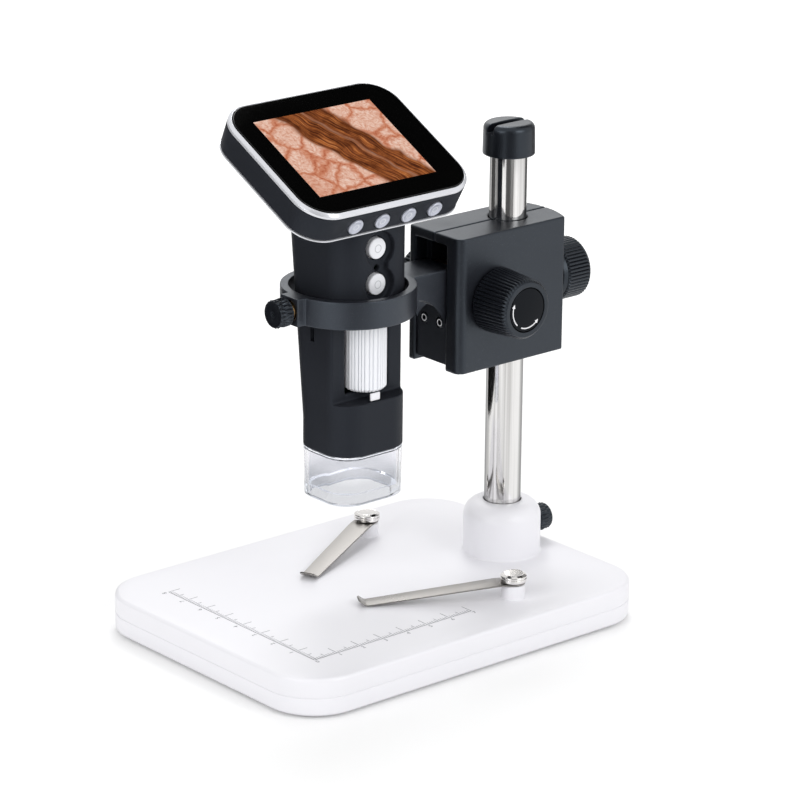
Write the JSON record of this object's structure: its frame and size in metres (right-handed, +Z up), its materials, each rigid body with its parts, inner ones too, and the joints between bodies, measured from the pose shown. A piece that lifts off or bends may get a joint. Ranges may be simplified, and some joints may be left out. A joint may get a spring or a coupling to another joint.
{
  "type": "digital microscope on pillar stand",
  "caption": "Upright handheld microscope with a tilted square screen, held in a ring arm on a geared block that slides on a pillar over a flat ruled base with spring clips.",
  "frame": {"origin": "centre of the base's underside, one millimetre above the surface that the rubber feet stand on", "axes": "+Z up the pillar; +X from the microscope towards the pillar; +Y away from the person who looks at the screen"},
  "size_m": [0.1673, 0.1174, 0.189],
  "materials": {
    "white_plastic": "satin",
    "black_plastic": "satin",
    "soft_black": "matte soft-touch coat",
    "knob_black": "satin",
    "inlay": "gloss",
    "screen_glass": "polished",
    "panel": "gloss",
    "cast_black": "black anodised",
    "polished_steel": "polished",
    "spring_steel": "satin",
    "screw_steel": "satin",
    "bright_trim": "silver lacquer",
    "silver_button": "silver lacquer",
    "brass": "turned",
    "clear": "clear",
    "lens": "polished",
    "rubber": "matte",
    "white_board": "matte",
    "green_board": "satin",
    "battery": "sleeved"
  },
  "bodies": {
    "base": {"base_top_cover": "white_plastic", "base_lower_cover": "white_plastic", "ballast_plate": "screw_steel", "foot_1": "rubber", "foot_2": "rubber", "foot_3": "rubber", "foot_4": "rubber", "base_screw_1": "screw_steel", "base_screw_2": "screw_steel", "base_screw_3": "screw_steel", "base_screw_4": "screw_steel", "clip_screw_rear": "polished_steel", "clip_screw_front": "polished_steel"},
    "rear_clip": {"clip_blade_rear": "spring_steel"},
    "front_clip": {"clip_blade_front": "spring_steel"},
    "boss_screw": {"boss_thumbscrew": "knob_black"},
    "pillar": {"pillar_tube": "polished_steel", "pillar_cap": "knob_black"},
    "block": {"block_front_half": "black_plastic", "block_rear_half": "black_plastic", "block_screw_upper": "screw_steel", "block_screw_lower": "screw_steel"},
    "clamp": {"clamp_knob": "knob_black"},
    "carriage": {"ring_arm": "cast_black", "rack": "brass", "rack_screw_front": "screw_steel", "rack_screw_rear": "screw_steel", "ring_insert": "brass"},
    "focus_knobs": {"knob_shaft": "screw_steel", "pinion": "brass", "focus_knob_front": "knob_black", "focus_knob_inlay": "inlay", "focus_knob_rear": "knob_black"},
    "ring_screw": {"ring_thumbscrew": "knob_black"},
    "microscope": {"barrel_shell": "soft_black", "wheel_axle": "screw_steel", "index_tab": "white_plastic", "button_board": "green_board", "clear_tip": "clear", "light_ring_board": "white_board", "optic_plate": "black_plastic", "sensor_board": "green_board", "battery": "battery", "trim_ring": "bright_trim", "screen_glass": "screen_glass", "lcd_panel": "panel", "main_board": "green_board", "head_shell": "soft_black", "lower_trim": "bright_trim", "rear_cover": "soft_black", "charging_socket": "screw_steel"},
    "wheel": {"focus_wheel": "white_plastic"},
    "lens_slide": {"lens_cell": "knob_black", "lens": "lens"},
    "upper_button": {"barrel_button_upper": "white_plastic"},
    "lower_button": {"barrel_button_lower": "white_plastic"},
    "menu_1": {"menu_button_1": "silver_button"},
    "menu_2": {"menu_button_2": "silver_button"},
    "menu_3": {"menu_button_3": "silver_button"},
    "menu_4": {"menu_button_4": "silver_button"}
  },
  "joints": [
    {"name": "rear_clip_swing", "type": "hinge", "parent": "base", "child": "rear_clip", "pos_m": [0.0292, 0.0384, 0.019], "axis": [0, 0, -1], "range_deg": [-8, 50]},
    {"name": "front_clip_swing", "type": "hinge", "parent": "base", "child": "front_clip", "pos_m": [0.0292, -0.0406, 0.019], "axis": [0, 0, 1], "range_deg": [-8, 50]},
    {"name": "boss_screw_turn", "type": "hinge", "parent": "base", "child": "boss_screw", "pos_m": [0.0754, -0.0031, 0.0216], "axis": [1, 0, 0], "range_deg": [0, 360]},
    {"name": "pillar_turn", "type": "hinge", "parent": "base", "child": "pillar", "pos_m": [0.0574, -0.0031, 0.1], "axis": [0, 0, 1], "range_deg": [-30, 30]},
    {"name": "block_slide", "type": "slide", "parent": "pillar", "child": "block", "axis": [0, 0, 1], "range_m": [-0.02, 0.02]},
    {"name": "clamp_turn", "type": "hinge", "parent": "block", "child": "clamp", "pos_m": [0.083, -0.0031, 0.1139], "axis": [1, 0, 0], "range_deg": [0, 360]},
    {"name": "carriage_slide", "type": "slide", "parent": "block", "child": "carriage", "axis": [0, 0, 1], "range_m": [-0.009, 0.008]},
    {"name": "focus_knob_turn", "type": "hinge", "parent": "block", "child": "focus_knobs", "pos_m": [0.0403, -0.0031, 0.1139], "axis": [0, 1, 0], "range_deg": [-110, 110]},
    {"name": "ring_screw_turn", "type": "hinge", "parent": "carriage", "child": "ring_screw", "pos_m": [-0.044, -0.0031, 0.1223], "axis": [-1, 0, 0], "range_deg": [0, 360]},
    {"name": "microscope_lift", "type": "slide", "parent": "carriage", "child": "microscope", "axis": [0, 0, 1], "range_m": [0, 0.015]},
    {"name": "wheel_turn", "type": "hinge", "parent": "microscope", "child": "wheel", "pos_m": [-0.0139, -0.0106, 0.104], "axis": [0, 0, 1], "range_deg": [-155, 155]},
    {"name": "lens_slide", "type": "slide", "parent": "microscope", "child": "lens_slide", "axis": [0, 0, 1], "range_m": [-0.002, 0.002]},
    {"name": "upper_button_press", "type": "slide", "parent": "microscope", "child": "upper_button", "axis": [0, 1, 0], "range_m": [0, 0.0006], "stiffness_N_per_m": 900, "springref_m": -0.0002},
    {"name": "lower_button_press", "type": "slide", "parent": "microscope", "child": "lower_button", "axis": [0, 1, 0], "range_m": [0, 0.0006], "stiffness_N_per_m": 900, "springref_m": -0.0002},
    {"name": "menu_1_press", "type": "slide", "parent": "microscope", "child": "menu_1", "axis": [0, 0.8894, 0.4571], "range_m": [0, 0.0005], "stiffness_N_per_m": 900, "springref_m": -0.0002},
    {"name": "menu_2_press", "type": "slide", "parent": "microscope", "child": "menu_2", "axis": [0, 0.8894, 0.4571], "range_m": [0, 0.0005], "stiffness_N_per_m": 900, "springref_m": -0.0002},
    {"name": "menu_3_press", "type": "slide", "parent": "microscope", "child": "menu_3", "axis": [0, 0.8894, 0.4571], "range_m": [0, 0.0005], "stiffness_N_per_m": 900, "springref_m": -0.0002},
    {"name": "menu_4_press", "type": "slide", "parent": "microscope", "child": "menu_4", "axis": [0, 0.8894, 0.4571], "range_m": [0, 0.0005], "stiffness_N_per_m": 900, "springref_m": -0.0002}
  ],
  "couplings": [
    {"joint": "focus_knob_turn", "follows": "carriage_slide", "rad_per_m": 208.33},
    {"joint": "wheel_turn", "follows": "lens_slide", "rad_per_m": 1333.3}
  ]
}
